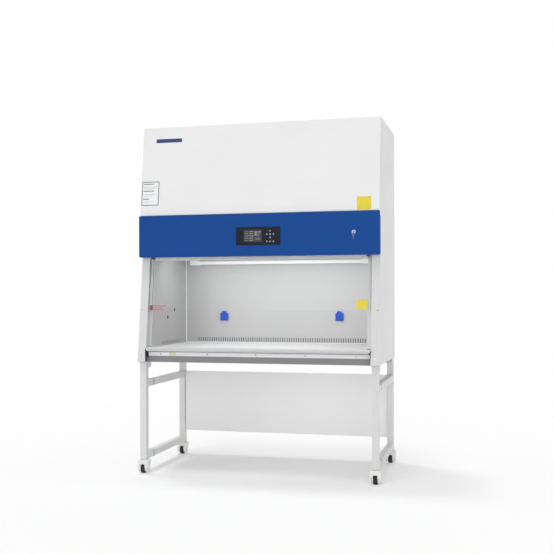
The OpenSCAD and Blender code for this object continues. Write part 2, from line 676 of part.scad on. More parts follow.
// Holders: boxes that close round the ends of a tube and hang from the ceiling
module lamp_holders() color("white") for (s = [-1, 1], p = [[uv_y, uv_z], [lt_y, lt_z]])
  translate([s * (lamp_x + 35), p[0], p[1]]) mirror([s < 0 ? 1 : 0, 0, 0]) difference() {
    union() {
      bx([-35, -16, -16], [35, 16, 16]);
      bx([-9, -9, 0], [9, 9, zC - p[1]]);
    }
    rod_x(-36, 3.5, 0, 0, lamp_r + 0.4);
    for (d = [-6, 6]) rod_x(3, 13, 0, d, 1.3);
  }

// Air system
// Filter: a frame round one folded sheet of media
module filter(x1, ya, yb, z0, z1) {
  f = frame_t;
  w = x1 - f + 1;
  n = floor(2 * w / pleat);
  fold = 8;
  zig = [for (i = [0 : 2 * n]) [-w + i * w / n, i % 2 == 0 ? z0 + 8 + fold : z1 - 8]];
  difference() {
    bx([-x1, ya, z0], [x1, yb, z1]);
    bx([-x1 + f, ya + f, z0 - 1], [x1 - f, yb - f, z1 + 1]);
  }
  upright(ya + f - 1, yb - f + 1) polygon(concat(zig, [for (i = [2 * n : -1 : 0]) zig[i] - [0, fold]]));
}
module supply_filter() color("lightgray") filter(fx, fy0, fy1, zC + sheet, zF);
module exhaust_filter() color("lightgray") filter(ex, ey0, ey1, zX, zT - sheet);
module plenum_box() color("gainsboro") difference() {
  union() {
    difference() {
      bx([-fx, fy0, zF], [fx, fy1, zX]);
      bx([-fx + sheet, fy0 + sheet, zF - 1], [fx - sheet, fy1 - sheet, zX - sheet]);
    }
    // Inlet ring that meets the impeller's shroud
    rod_y(0, fan_y + 0.7, fy1 - 1, fan_z, inlet_r + 2);
  }
  bx([-ex + 25, ey0 + 25, zX - 5], [ex - 25, ey1 - 25, zX + 1]);
  rod_y(0, fan_y, fy1 + 1, fan_z, inlet_r);
}
fan_y = fy1 - 22;
fan_w = 100;
module blower_impeller() color("silver") difference() {
  union() {
    rod_y(0, fan_y - fan_w, fan_y - fan_w + 3, fan_z, fan_r);
    rod_y(0, fan_y - 3, fan_y, fan_z, fan_r);
    rod_y(0, fan_y - fan_w - 8, fan_y - fan_w + 30, fan_z, 22);
    translate([0, fan_y - 2, fan_z]) rotate([90, 0, 0]) linear_extrude(fan_w - 3)
      for (i = [0 : blades - 1]) rotate(360 / blades * i) intersection() {
        difference() { circle(r = fan_r - 2); circle(r = fan_r * 0.55); }
        difference() {
          translate([fan_r * 0.42, -fan_r * 0.62]) circle(r = fan_r * 0.72);
          translate([fan_r * 0.42, -fan_r * 0.62]) circle(r = fan_r * 0.72 - 3);
        }
        translate([fan_r * 0.2, 0]) square([fan_r, fan_r]);
      }
  }
  rod_y(0, fan_y - 4, fan_y + 1, fan_z, inlet_r - 3);
  rod_y(0, fan_y - fan_w - 9, fan_y - fan_w + 24, fan_z, 8 + run);
}
module blower_motor() color("dimgray") {
  y0 = fan_y - fan_w - 8 - 6;
  q = fan_r + 18;
  rod_y(0, y0 - motor_len, y0, fan_z, motor_r);
  rod_y(0, y0 - 1, fan_y - fan_w + 20, fan_z, 8);
  for (a = [45, 135]) translate([0, y0 - motor_len + 20, fan_z]) rotate([0, a, 0])
    bx([-q * sqrt(2), -3, -14], [q * sqrt(2), 3, 14]);
  for (s = [-1, 1], t = [-1, 1])
    rod_y(s * (q - 6), y0 - motor_len + 17, fy1 - sheet, fan_z + t * (q - 6), 6);
}

// Pan head screws for the apron and the pillars' feet, nuts on the modesty panel's studs
module screw(x, y, z) {
  rod_y(x, y - 2, y, z, 5);
  rod_y(x, y - 0.5, y + sheet, z, 2.45);
}
module screws() color("silver") {
  for (i = [-2 : 2]) screw(i * apron_pitch, yA, apron_z1 - 12);
  for (s = [-1, 1]) slope() screw(s * (W2 - 23), 0, 42 / cl);
  for (s = [-1, 1], z = modesty_z) translate([s * (lx - tube / 2 - 25), lyr - 5 + sheet, z]) difference() {
    rotate([-90, 0, 0]) cylinder(r = 5.5, h = 4, $fn = 6);
    rod_y(0, -1, 5, 0, 2.45);
  }
}

leg_front_left();
leg_front_right();
leg_rear_left();
leg_rear_right();
rail_upper_left();
rail_upper_right();
rail_lower_left();
rail_lower_right();
rail_collars();
modesty_panel();
caster_fork_fl();
caster_fork_fr();
caster_fork_rl();
caster_fork_rr();
caster_wheel_fl();
caster_wheel_fr();
caster_wheel_rl();
caster_wheel_rr();
base_pan();
side_panel_left();
side_panel_right();
rear_panel();
top_panel();
front_apron();
upper_front_panel();
control_panel();
pillar_left();
pillar_right();
work_tray();
chamber_back_wall();
chamber_wall_left();
chamber_wall_right();
diffuser();
display_module();
key_up();
key_left();
key_enter();
key_right();
key_down();
key_light();
key_fan();
key_uv();
lock_plug();
lock_key();
key_ring();
sash_glass();
sash_racks();
sash_drive_shaft();
sash_motor();
socket_inserts();
socket_cover_left();
socket_cover_right();
lamp_tubes();
lamp_holders();
supply_filter();
exhaust_filter();
plenum_box();
blower_impeller();
blower_motor();
screws();
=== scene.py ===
import math

import bmesh
import bpy
from mathutils import Matrix, Vector


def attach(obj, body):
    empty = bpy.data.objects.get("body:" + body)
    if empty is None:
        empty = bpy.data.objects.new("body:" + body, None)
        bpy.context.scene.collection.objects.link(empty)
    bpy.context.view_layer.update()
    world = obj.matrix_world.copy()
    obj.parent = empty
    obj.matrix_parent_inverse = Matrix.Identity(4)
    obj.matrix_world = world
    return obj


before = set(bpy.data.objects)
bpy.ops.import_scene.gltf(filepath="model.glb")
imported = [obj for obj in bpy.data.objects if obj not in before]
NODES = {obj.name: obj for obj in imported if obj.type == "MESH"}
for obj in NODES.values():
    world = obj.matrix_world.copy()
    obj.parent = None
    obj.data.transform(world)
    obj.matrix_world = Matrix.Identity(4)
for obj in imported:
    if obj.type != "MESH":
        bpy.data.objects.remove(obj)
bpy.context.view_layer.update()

# Values repeated from the part's source, in metres
LEAN = math.radians(7.4)                         # of the window and the upper front
TAN, COS = math.tan(LEAN), math.cos(LEAN)
Y_FOOT, Z_BASE = -0.380, 0.690                   # front and lower end of the pillars' feet
Y_PANEL, Z_PANEL_TOP = -0.343, 1.596             # front and upper edge of the control panel
PROUD = 0.012                                    # the control panel stands this far before the upper front
Y_APRON = Y_FOOT + 0.038                         # front of the apron
GLASS_FRONT = 0.01075                            # front of the glass, behind the pillars' face
KEY_X, KEY_Z, KEY_PITCH = 0.093, 1.4695, 0.0205  # cross of keys on the display module
KEY_FACE = Y_PANEL - 0.002 - 0.0013              # front of the keys
FIELD_Y = Y_PANEL - 0.0012                       # front of the display's field


def pillar_y(z, off=0.0):
    """Depth of the window's plane at height z, off behind the pillars' face."""
    return Y_FOOT + (z - Z_BASE) * TAN + off / COS


def glass_y(z):
    """Depth of the glass's front face at height z, with the glass at rest."""
    return pillar_y(z, GLASS_FRONT)


def upper_y(z):
    """Depth of the upper front panel's face at height z."""
    return Y_PANEL + PROUD + (z - Z_PANEL_TOP) * TAN


def flat(y):
    """Upright plane at depth y."""
    return lambda z: y


# ---------------------------------------------------------------- materials
def srgb(*c):
    """Linear colour of three values from 0 to 255."""
    out = []
    for v in c:
        v = v / 255.0
        out.append(v / 12.92 if v <= 0.04045 else ((v + 0.055) / 1.055) ** 2.4)
    return out + [1.0]


def shade(color, f):
    """The colour made f times as light, 1 at most."""
    return [min(1.0, c * f) for c in color[:3]] + [1.0]


class Graph:
    """A material's node tree with a few short forms."""

    def __init__(self, name):
        self.mat = bpy.data.materials.new(name)
        self.mat.use_nodes = True
        self.tree = self.mat.node_tree
        self.tree.nodes.clear()
        self.out = self.add("ShaderNodeOutputMaterial")
        self.coord = self.add("ShaderNodeTexCoord").outputs["Object"]

    def add(self, kind, **values):
        n = self.tree.nodes.new(kind)
        for k, v in values.items():
            setattr(n, k, v)
        return n

    def link(self, a, b):
        self.tree.links.new(a, b)

    def mapped(self, scale):
        m = self.add("ShaderNodeMapping")
        m.inputs["Scale"].default_value = scale
        self.link(self.coord, m.inputs["Vector"])
        return m.outputs["Vector"]

    def noise(self, scale, detail=3.0, vec=None, rough=0.55):
        n = self.add("ShaderNodeTexNoise")
        n.inputs["Scale"].default_value = scale
        n.inputs["Detail"].default_value = detail
        n.inputs["Roughness"].default_value = rough
        self.link(vec or self.coord, n.inputs["Vector"])
        return n.outputs["Fac"]

    def ramp(self, fac, stops):
        r = self.add("ShaderNodeValToRGB")
        e = r.color_ramp.elements
        e[0].position, e[0].color = stops[0]
        e[1].position, e[1].color = stops[-1]
        for p, c in stops[1:-1]:
            x = e.new(p)
            x.color = c
        self.link(fac, r.inputs["Fac"])
        return r.outputs["Color"]

    def remap(self, fac, lo, hi, a=0.3, b=0.7):
        m = self.add("ShaderNodeMapRange")
        m.inputs["From Min"].default_value = a
        m.inputs["From Max"].default_value = b
        m.inputs["To Min"].default_value = lo
        m.inputs["To Max"].default_value = hi
        self.link(fac, m.inputs["Value"])
        return m.outputs["Result"]

    def math(self, op, a, b):
        m = self.add("ShaderNodeMath", operation=op)
        for i, v in enumerate((a, b)):
            if isinstance(v, (int, float)):
                m.inputs[i].default_value = v
            else:
                self.link(v, m.inputs[i])
        return m.outputs[0]

    def bump(self, height, strength, distance):
        b = self.add("ShaderNodeBump")
        b.inputs["Strength"].default_value = strength
        b.inputs["Distance"].default_value = distance
        self.link(height, b.inputs["Height"])
        return b.outputs["Normal"]

    def bsdf(self, color=None, rough=None, metal=0.0, normal=None, **sockets):
        p = self.add("ShaderNodeBsdfPrincipled")
        for name, v in (("Base Color", color), ("Roughness", rough), ("Normal", normal)):
            if v is None:
                continue
            if isinstance(v, (int, float, list, tuple)):
                p.inputs[name].default_value = v
            else:
                self.link(v, p.inputs[name])
        p.inputs["Metallic"].default_value = metal
        for k, v in sockets.items():
            p.inputs[k.replace("_", " ")].default_value = v
        self.link(p.outputs["BSDF"], self.out.inputs["Surface"])
        return p


def powder_coat(name, color, rough=0.42, grain=900, depth=0.00004, spec=0.5):
    """Satin powder coat: fine orange peel and a faint, slow change of tone."""
    g = Graph(name)
    slow = g.noise(3.0, 2)
    col = g.ramp(slow, [(0.35, shade(color, 0.985)), (0.65, shade(color, 1.01))])
    fine = g.noise(grain, 2)
    rgh = g.remap(g.noise(14, 4), rough - 0.04, rough + 0.05)
    g.bsdf(col, rgh, normal=g.bump(fine, 0.22, depth), Specular_IOR_Level=spec)
    return g.mat


# Painted shade: the tray's front roll is drawn darker than its top
SHADED_ROLL_DEPTHS = (-0.367, -0.360)  # depth at which a tray's front roll ends, as a soft step


def brushed(name, color, scale, rough=0.34, metal=1.0, depth=0.00002, roll=None):
    """Brushed steel: streaks along one axis in tone, roughness and height.

    With roll, another colour, the tray's front roll (all that lies before the soft step's depths) is
    darker: painted shade on the roll.
    """
    g = Graph(name)
    streak = g.noise(1.0, 5, g.mapped(scale), 0.7)
    broad = g.noise(2.2, 2)
    mixed = g.math("ADD", g.math("MULTIPLY", streak, 0.75), g.math("MULTIPLY", broad, 0.25))
    # Painted shade: the front roll takes the darker colour roll
    if roll:
        xyz = g.add("ShaderNodeSeparateXYZ")
        g.link(g.coord, xyz.inputs["Vector"])
        part = g.remap(xyz.outputs["Y"], 0.0, 0.5, *SHADED_ROLL_DEPTHS)
        tones = [(0.15, shade(roll, 0.94)), (0.35, shade(roll, 1.04)),
                 (0.65, shade(color, 0.94)), (0.85, shade(color, 1.04))]
        col = g.ramp(g.math("ADD", part, g.math("MULTIPLY", mixed, 0.5)), tones)
    else:
        col = g.ramp(mixed, [(0.3, shade(color, 0.94)), (0.7, shade(color, 1.04))])
    rgh = g.remap(streak, rough - 0.05, rough + 0.08)
    g.bsdf(col, rgh, metal, g.bump(streak, 0.15, depth))
    return g.mat


def plastic(name, color, rough=0.35, grain=700, depth=0.00003, speck=0.03, spec=0.5):
    """Moulded plastic with a fine spark-eroded grain."""
    g = Graph(name)
    v = g.add("ShaderNodeTexVoronoi")
    v.inputs["Scale"].default_value = grain
    g.link(g.coord, v.inputs["Vector"])
    tone = g.noise(30, 3)
    col = g.ramp(tone, [(0.3, shade(color, 1 - speck)), (0.7, shade(color, 1 + speck))])
    rgh = g.remap(g.noise(60, 3), rough - 0.04, rough + 0.06)
    g.bsdf(col, rgh, normal=g.bump(v.outputs["Distance"], 0.2, depth), Specular_IOR_Level=spec)
    return g.mat


def metal(name, color, rough=0.25, grain=400):
    """Plain machined or cast metal with fine cloudy wear."""
    g = Graph(name)
    n = g.noise(grain, 4)
    wear = g.noise(25, 4)
    col = g.ramp(wear, [(0.3, shade(color, 0.9)), (0.7, shade(color, 1.05))])
    g.bsdf(col, g.remap(n, rough - 0.06, rough + 0.08), 1.0, g.bump(n, 0.1, 0.00003))
    return g.mat


def rubber(name, color):
    """Dull rubber with patches of lighter dust."""
    g = Graph(name)
    n = g.noise(500, 4)
    dust = g.noise(18, 4)
    col = g.ramp(dust, [(0.35, color), (0.75, shade(color, 2.2))])
    g.bsdf(col, g.remap(n, 0.6, 0.8), normal=g.bump(n, 0.35, 0.0001))
    return g.mat


def print_ink(name, color, rough=0.5):
    """Printed film: flat ink with a very fine screen texture."""
    g = Graph(name)
    n = g.noise(1500, 2)
    col = g.ramp(n, [(0.3, shade(color, 0.97)), (0.7, shade(color, 1.02))])
    g.bsdf(col, g.remap(n, rough - 0.03, rough + 0.03), normal=g.bump(n, 0.06, 0.00001))
    return g.mat


def filter_media(name, color):
    """Pleated paper: close folds, with painted shade in the valleys."""
    g = Graph(name)
    w = g.add("ShaderNodeTexWave", wave_type="BANDS", bands_direction="X", wave_profile="TRI")
    w.inputs["Scale"].default_value = 80
    w.inputs["Distortion"].default_value = 0.4
    g.link(g.coord, w.inputs["Vector"])
    # Painted shade: the valleys drawn darker
    col = g.ramp(w.outputs["Fac"], [(0.0, shade(color, 0.8)), (1.0, color)])
    g.bsdf(col, 0.9, normal=g.bump(w.outputs["Fac"], 0.8, 0.002))
    return g.mat


FACE_ON = 0.012  # share of light that a glass face mirrors face on


def clear_glass(name, tint):
    """Toughened pane: almost clear face on, mirror-like at a low angle, and it lets lamp light through."""
    g = Graph(name)
    smear = g.noise(6, 4)
    rgh = g.remap(smear, 0.0, 0.03)
    gloss = g.add("ShaderNodeBsdfGlossy")
    gloss.inputs["Color"].default_value = (1, 1, 1, 1)
    g.link(rgh, gloss.inputs["Roughness"])
    clear = g.add("ShaderNodeBsdfTransparent")
    clear.inputs["Color"].default_value = tint
    edge = g.add("ShaderNodeLayerWeight").outputs["Facing"]
    fres = g.math("ADD", FACE_ON, g.math("MULTIPLY", 1.0 - FACE_ON, g.math("POWER", edge, 5.0)))
    path = g.add("ShaderNodeLightPath")
    unseen = g.math("MAXIMUM", path.outputs["Is Shadow Ray"], path.outputs["Is Diffuse Ray"])
    seen = g.math("SUBTRACT", 1.0, unseen)
    mix = g.add("ShaderNodeMixShader")
    g.link(g.math("MULTIPLY", fres, seen), mix.inputs["Fac"])
    g.link(clear.outputs["BSDF"], mix.inputs[1])
    g.link(gloss.outputs["BSDF"], mix.inputs[2])
    g.link(mix.outputs["Shader"], g.out.inputs["Surface"])
    return g.mat


WHITE = srgb(243, 243, 243)
M = {
    "white_paint": powder_coat("white_powder_coat", WHITE),
    # Side panels: the white drawn darker, painted shade on their outer faces
    "side_shaded_paint": powder_coat("side_shaded_powder_coat", srgb(232, 232, 232)),
    # Pillars: drawn darker than the white, painted shade under the control panel's overhang
    "pillar_shaded_paint": powder_coat("pillar_shaded_powder_coat", srgb(223, 223, 223)),
    "blue_paint": powder_coat("blue_powder_coat", srgb(16, 74, 150), 0.45, spec=0.15),
    "apron_paint": powder_coat("apron_powder_coat", srgb(240, 240, 241)),
    "base_grey": powder_coat("grey_powder_coat", srgb(143, 143, 145), 0.5, spec=0.3),
    "dark_steel": powder_coat("dark_motor_paint", srgb(60, 62, 66), 0.5),
    # Legs and rails: drawn darker than the white, painted shade under the cabinet's base
    "stand_shaded_paint": powder_coat("stand_shaded_powder_coat", srgb(226, 226, 226)),
    # Modesty panel: drawn lighter than the white, painted light against the shade under the cabinet
    "modesty_lightened_paint": powder_coat("modesty_lightened_powder_coat", srgb(250, 250, 250)),
    "steel_wall": brushed("brushed_wall", srgb(196, 196, 196), (3, 3, 700), 0.34, 0.5),
    # Tray: the top drawn near white, painted light of the chamber lamp, and the front roll darker, painted
    # shade
    "steel_tray": brushed("brushed_tray", srgb(251, 251, 251), (3, 700, 700), 0.42, 0.2,
                          roll=srgb(205, 205, 206)),
    "zinc": brushed("zinc_sheet", srgb(196, 198, 200), (40, 40, 60), 0.4, 0.9),
    "aluminium": metal("cast_aluminium", srgb(205, 206, 208), 0.38),
    "silver": metal("polished_metal", srgb(205, 205, 208), 0.22),
    "lock_metal": metal("lock_metal", srgb(160, 166, 190), 0.28),
    # Painted highlight: the bright beads in the chamber's rear corners
    "bead": metal("highlight_bead_metal", srgb(250, 250, 250), 0.5),
    "display_black": plastic("display_black", srgb(30, 35, 44), 0.28, 900, 0.000003, 0.02, 0.12),
    "key_grey": plastic("key_grey", srgb(70, 73, 78), 0.5),
    "white_plastic": plastic("white_plastic", srgb(238, 238, 236), 0.35),
    "grey_plastic": plastic("grey_plastic", srgb(196, 197, 198), 0.45),
    # Sash racks: drawn lighter than grey plastic, painted light against the shade of their groove
    "rack_lightened_plastic": plastic("rack_lightened_plastic", srgb(234, 234, 232), 0.45),
    "blue_plastic": plastic("blue_plastic", srgb(42, 88, 198), 0.35, 700, 0.00001, 0.02, 0.3),
    "tyre": rubber("tyre_rubber", srgb(24, 24, 25)),
    "filter_media": filter_media("filter_media", srgb(236, 236, 230)),
    "glass": clear_glass("sash_glass", (0.995, 0.998, 0.997, 1)),
    "lamp": plastic("lamp_glass", srgb(244, 246, 248), 0.15, 300, 0.00001, 0.01),
    "yellow_print": print_ink("yellow_print", srgb(236, 216, 60)),
    "white_print": print_ink("white_print", srgb(250, 250, 252)),
    "grey_print": print_ink("grey_print", srgb(128, 128, 136)),
    "navy_print": print_ink("navy_print", srgb(44, 62, 116)),
    "red_print": print_ink("red_print", srgb(184, 132, 140)),
    "dark_red_print": print_ink("dark_red_print", srgb(138, 92, 108)),
    "green_print": print_ink("green_print", srgb(222, 228, 176)),
    "lcd": print_ink("lcd_field", srgb(46, 46, 50), 0.3),
    "lcd_line": print_ink("lcd_line", srgb(138, 136, 136), 0.3),
    "light_print": print_ink("light_print", srgb(224, 226, 230), 0.4),
    # black: painted shade in the screw crosses and behind the wall slots; the port plugs take it too
    "black": print_ink("black_recess", srgb(24, 24, 26), 0.6),
}

NODE_MATERIAL = {
    "base_pan": "base_grey", "modesty_panel": "modesty_lightened_paint", "side_panel_left": "side_shaded_paint",
    "side_panel_right": "side_shaded_paint", "front_apron": "apron_paint", "control_panel": "blue_paint",
    "display_module": "display_black", "lock_plug": "lock_metal", "lock_key": "lock_metal",
    "work_tray": "steel_tray", "chamber_back_wall": "steel_wall", "chamber_wall_left": "steel_wall",
    "chamber_wall_right": "steel_wall", "plenum_box": "zinc", "key_ring": "lock_metal",
    "screws": "silver", "sash_glass": "glass", "sash_racks": "rack_lightened_plastic",
    "rail_collars": "grey_plastic", "sash_drive_shaft": "zinc", "sash_motor": "dark_steel",
    "blower_motor": "dark_steel", "blower_impeller": "aluminium", "socket_inserts": "white_plastic",
    "socket_cover_left": "blue_plastic", "socket_cover_right": "blue_plastic", "lamp_tubes": "lamp",
    "lamp_holders": "white_plastic", "supply_filter": "filter_media", "exhaust_filter": "filter_media",
}
# For the nodes that aren't named above, by the start of the name; "" takes the rest
START_MATERIAL = {
    "key_": "key_grey", "caster_fork": "white_plastic", "caster_wheel": "tyre", "pillar": "pillar_shaded_paint",
    "leg_": "stand_shaded_paint", "rail_": "stand_shaded_paint", "": "white_paint",
}
for name, obj in NODES.items():
    key = NODE_MATERIAL.get(name) or next(v for k, v in START_MATERIAL.items() if name.startswith(k))
    for s in obj.material_slots:
        s.material = M[key]
    if not obj.material_slots:
        obj.data.materials.append(M[key])


# Broken edges on the folded and moulded parts: points joined, flat faces merged, then the bevel
EDGE = 0.0008
SOFT = ("rail_", "side_panel", "top_panel", "upper_front", "base_pan", "socket_cover", "sash_motor")
for name, obj in NODES.items():
    if name.startswith(SOFT):
        obj.modifiers.new("join", "WELD").merge_threshold = 0.00001
        m = obj.modifiers.new("flat", "DECIMATE")
        m.decimate_type, m.angle_limit = "DISSOLVE", math.radians(0.5)
        m = obj.modifiers.new("edge", "BEVEL")
        m.width, m.segments, m.limit_method, m.angle_limit = EDGE, 2, "ANGLE", math.radians(40)


# ---------------------------------------------------------------- pieces
def finish_piece(name, bm, material, body, bevel=0.0):
    """Object from bm on its body and slot; the bmesh is freed."""
    me = bpy.data.meshes.new(name)
    bmesh.ops.recalc_face_normals(bm, faces=bm.faces)
    bm.to_mesh(me)
    bm.free()
    me.materials.append(M[material])
    o = bpy.data.objects.new(name, me)
    bpy.context.scene.collection.objects.link(o)
    if bevel:
        m = o.modifiers.new("edge", "BEVEL")
        m.width, m.segments, m.limit_method = bevel, 2, "ANGLE"
    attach(o, body)
    return o


def add_prism(bm, pts, normal):
    """Closed outline pts pushed along normal."""
    a = [bm.verts.new(p) for p in pts]
    b = [bm.verts.new(Vector(p) + Vector(normal)) for p in pts]
    bm.faces.new(a)
    bm.faces.new(b[::-1])
    n = len(a)
    for i in range(n):
        bm.faces.new((a[i], a[(i + 1) % n], b[(i + 1) % n], b[i]))


def add_box(bm, lo, hi):
    """Box between two corners."""
    (x0, y0, z0), (x1, y1, z1) = lo, hi
    add_prism(bm, [(x0, y0, z0), (x1, y0, z0), (x1, y0, z1), (x0, y0, z1)], (0, y1 - y0, 0))


def rounded(x0, x1, z0, z1, r, n=5):
    """Outline of a rectangle with round corners, as (x, z)."""
    out = []
    corners = ((x1 - r, z1 - r, 0), (x0 + r, z1 - r, 90), (x0 + r, z0 + r, 180), (x1 - r, z0 + r, 270))
    for cx, cz, a in corners:
        for i in range(n):
            t = math.radians(a + 90 * i / (n - 1))
            out.append((cx + r * math.cos(t), cz + r * math.sin(t)))
    return out


def decal(name, outlines, plane, thick, material, body):
    """Thin film on the face y = plane(z), standing thick in front of it."""
    bm = bmesh.new()
    for pts in outlines:
        add_prism(bm, [(x, plane(z) - thick, z) for x, z in pts], (0, thick + 0.0002, 0))
    return finish_piece(name, bm, material, body)


def plate(name, outline, plane, thick, material, body):
    """Decal of one rounded rectangle, outline = (x0, x1, z0, z1, r)."""
    return decal(name, [rounded(*outline)], plane, thick, material, body)


def bars(rows, r=0.0008):
    """Outlines of plain bars, rows = (x0, x1, z0, z1)."""
    return [rounded(x0, x1, z0, z1, min(r, (z1 - z0) / 2.01)) for x0, x1, z0, z1 in rows]


def tube(name, pts, radius, material, body):
    """Round bead that follows pts."""
    cu = bpy.data.curves.new(name, "CURVE")
    cu.dimensions = "3D"
    cu.bevel_depth = radius
    cu.bevel_resolution = 3
    cu.use_fill_caps = True
    sp = cu.splines.new("POLY")
    sp.points.add(len(pts) - 1)
    for p, q in zip(sp.points, pts):
        p.co = (*q, 1)
    cu.materials.append(M[material])
    o = bpy.data.objects.new(name, cu)
    bpy.context.scene.collection.objects.link(o)
    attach(o, body)
    return o


# Upper front: plain plate, plain bar, plain yellow square
plate("upper_plate", (-0.7455, -0.6315, 1.6635, 1.8145, 0.004), upper_y, 0.0006,
      "grey_print", "cabinet")
plate("upper_plate_field", (-0.7400, -0.6370, 1.6690, 1.8090, 0.003), upper_y, 0.0009,
      "white_print", "cabinet")
BAR_LEFT, BOLD, FINE = -0.735, 0.006, 0.0016
rows = []
for z, w in ((1.796, 0.066), (1.752, 0.070), (1.702, 0.040)):
    rows.append((BAR_LEFT, BAR_LEFT + w, z, z + BOLD))
for z, w in ((1.780, 0.088), (1.770, 0.080), (1.734, 0.086), (1.724, 0.060), (1.686, 0.074)):
    rows.append((BAR_LEFT, BAR_LEFT + w, z, z + FINE))
decal("upper_plate_bars", bars(rows), upper_y, 0.0012, "grey_print", "cabinet")
plate("upper_bar", (-0.664, -0.493, 2.060, 2.084, 0.006), upper_y, 0.0008,
      "navy_print", "cabinet")
plate("upper_square", (0.616, 0.700, 1.604, 1.683, 0.005), upper_y, 0.0007,
      "yellow_print", "cabinet")

# Window: plain patches on the glass, level marks on the pillars
plate("glass_patch", (0.610, 0.674, 1.020, 1.074, 0.008), glass_y, 0.0005,
      "yellow_print", "sash")
rows = [(-0.668, x1, z, z + 0.0065) for x1, z in ((-0.586, 1.0335), (-0.606, 1.0225), (-0.592, 1.0115))]
decal("glass_bars", bars(rows), glass_y, 0.0005, "red_print", "sash")
plate("glass_block", (-0.690, -0.670, 1.0105, 1.0410, 0.003), glass_y, 0.0005,
      "dark_red_print", "sash")
rows = [(x0, x0 + 0.012, 1.012, 1.0155) for x0 in (-0.744, 0.732)]
decal("pillar_marks", bars(rows), pillar_y, 0.0004, "grey_print", "cabinet")

# Display: field with plain shapes, and prints on the keys
plate("display_field", (-0.072, 0.041, 1.4245, 1.4970, 0.002), flat(FIELD_Y), 0.0003,
      "lcd", "front_door")
rows = []
for i in range(6):
    rows.append((-0.066, -0.044 + 0.004 * (i % 2), 1.432 + i * 0.0105, 1.4345 + i * 0.0105))
for i in range(5):
    rows.append((-0.036, -0.012 - 0.003 * (i % 2), 1.432 + i * 0.013, 1.4375 + i * 0.013))
rows += [(-0.004, 0.010, 1.462, 1.488), (0.014, 0.028, 1.470, 1.474), (0.014, 0.034, 1.480, 1.488),
         (-0.004, 0.034, 1.446, 1.4485), (-0.004, 0.028, 1.438, 1.4405), (0.014, 0.022, 1.458, 1.466)]
decal("display_shapes", bars(rows), flat(FIELD_Y), 0.0006, "lcd_line", "front_door")

# Place of each key in pitches from the middle one
KEYS = {
    "key_up": (0, 1), "key_left": (-1, 0), "key_enter": (0, 0), "key_right": (1, 0),
    "key_down": (0, -1), "key_light": (-1, -2.15), "key_fan": (0, -2.15), "key_uv": (1, -2.15),
}
ARROW = ((1.1, 0), (-0.8, 1), (-0.8, -1))
KEY_MARK = 0.0034  # half width of a key's mark
for key, (kx, kz) in KEYS.items():
    x, z, s = KEY_X + kx * KEY_PITCH, KEY_Z + kz * KEY_PITCH, KEY_MARK
    if key == "key_enter":
        shapes = [rounded(x - s, x + s, z - s, z + s, s * 0.6)]
    elif abs(kx) + abs(kz) == 1:
        shapes = [[(x + s * (kx * a - kz * b), z + s * (kz * a + kx * b)) for a, b in ARROW]]
    else:
        shapes = bars([(x - s, x + s, z + 0.0012, z + 0.0030), (x - s, x + s, z - 0.0030, z - 0.0012)])
    decal(key + "_print", shapes, flat(KEY_FACE), 0.0003, "light_print", key + "_body")

# Apron: plain plates
plate("apron_plate", (-0.603, -0.5575, 0.7295, 0.7515, 0.002), flat(Y_APRON), 0.0006,
      "white_print", "cabinet")
plate("apron_plate_right", (-0.5565, -0.511, 0.7295, 0.7515, 0.002), flat(Y_APRON), 0.0006,
      "green_print", "cabinet")

# Cross recesses in the heads of the apron's five screws, drawn black: painted shade in the recesses
SCREW_PITCH, SCREW_Z, HEAD = 0.306, 0.741, 0.002
bm = bmesh.new()
for x, y, z in [(i * SCREW_PITCH, Y_APRON - HEAD, SCREW_Z) for i in range(-2, 3)]:
    for w, h in ((0.0032, 0.0007), (0.0007, 0.0032)):
        add_box(bm, (x - w, y - 0.0002, z - h), (x + w, y + 0.0004, z + h))
finish_piece("screw_crosses", bm, "black", "cabinet")

# Dark sheets between the pillars' feet and the apron, painted shade in the gap there: a thin black leaf
# and a flange, and a lower dark grey leaf
LEAF_X, LEAF_HALF, LEAF_FRONT, LEAF_BACK = 0.6998, 0.0008, -0.3765, -0.343
FLANGE_X, FLANGE_HALF = 0.6955, 0.0035


def add_leaf(bm, side, z0, z1):
    """Thin upright leaf of painted shade on one side of the window."""
    x = side * LEAF_X
    add_box(bm, (x - LEAF_HALF, LEAF_FRONT, z0), (x + LEAF_HALF, LEAF_BACK, z1))


bm = bmesh.new()
for s in (-1, 1):
    add_leaf(bm, s, 0.722, 0.774)
    x = s * FLANGE_X
    add_box(bm, (x - FLANGE_HALF, -0.3435, 0.722), (x + FLANGE_HALF, -0.3415, 0.7535))
finish_piece("foot_shade_sheets", bm, "tyre", "cabinet", 0.0003)
bm = bmesh.new()
for s in (-1, 1):
    add_leaf(bm, s, 0.694, 0.7215)
finish_piece("foot_shade_sheets_lower", bm, "dark_steel", "cabinet", 0.0003)

# Bumpers that the glass meets under the control panel
bm = bmesh.new()
for x in (-0.676, 0.676):
    add_box(bm, (x - 0.009, -0.300, 1.3305), (x + 0.009, -0.2905, 1.3375))
finish_piece("sash_bumpers", bm, "tyre", "cabinet", 0.0015)

# Bright beads in the chamber's rear corners: a painted highlight along the rounded corners
for side, x in (("left", -0.6735), ("right", 0.6735)):
    ends = [(x, 0.2870, 0.786), (x, 0.2870, 1.366)]
    tube("corner_highlight_bead_" + side, ends, 0.0050, "bead", "cabinet")

# Black sheets behind the slots of the chamber's walls: painted shade in the slots
bm = bmesh.new()
add_box(bm, (-0.660, 0.2925, 0.785), (0.660, 0.2935, 0.817))
for s in (-1, 1):
    add_box(bm, (s * 0.6785 - 0.0005, -0.225, 0.785), (s * 0.6785 + 0.0005, 0.225, 0.811))
finish_piece("slot_shade_sheets", bm, "black", "cabinet")

